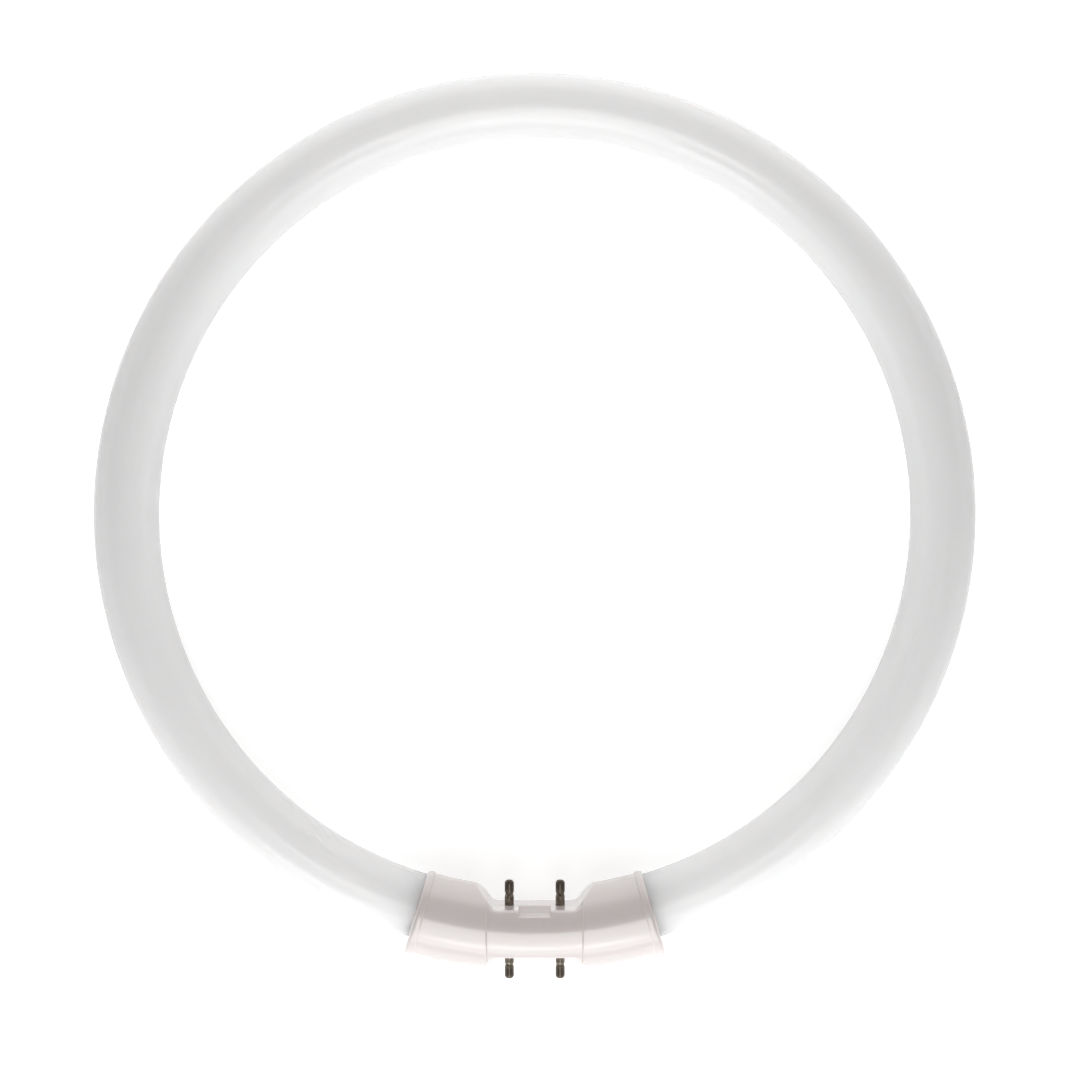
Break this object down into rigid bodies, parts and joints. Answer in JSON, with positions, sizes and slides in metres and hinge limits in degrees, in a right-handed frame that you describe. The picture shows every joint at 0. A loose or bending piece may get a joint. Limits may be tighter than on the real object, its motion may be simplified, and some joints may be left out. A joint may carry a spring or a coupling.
{
  "type": "circular fluorescent tube",
  "caption": "White ring-shaped fluorescent tube whose two ends meet in one curved moulded cap, with pins that point to the ring's centre and away from it.",
  "frame": {"origin": "centre of the ring, in the plane through the middle of its tube", "axes": "+Z along the ring's axis, out of its front; the cap is on the -Y side; +X to the right when the front is seen with the cap at the bottom"},
  "size_m": [0.2252, 0.2313, 0.022],
  "materials": {
    "coated_glass": "gloss",
    "cap": "satin",
    "pin": "dull",
    "wire": "satin",
    "bond": "matt"
  },
  "bodies": {
    "root": {"discharge_tube": "coated_glass", "cap_front_shell": "cap", "cap_back_shell": "cap", "inner_pin_left": "pin", "inner_pin_right": "pin", "outer_pin_left": "pin", "outer_pin_right": "pin", "inner_wire_left": "wire", "inner_wire_right": "wire", "outer_wire_left": "wire", "outer_wire_right": "wire", "bond_left": "bond", "bond_right": "bond"}
  },
  "joints": []
}
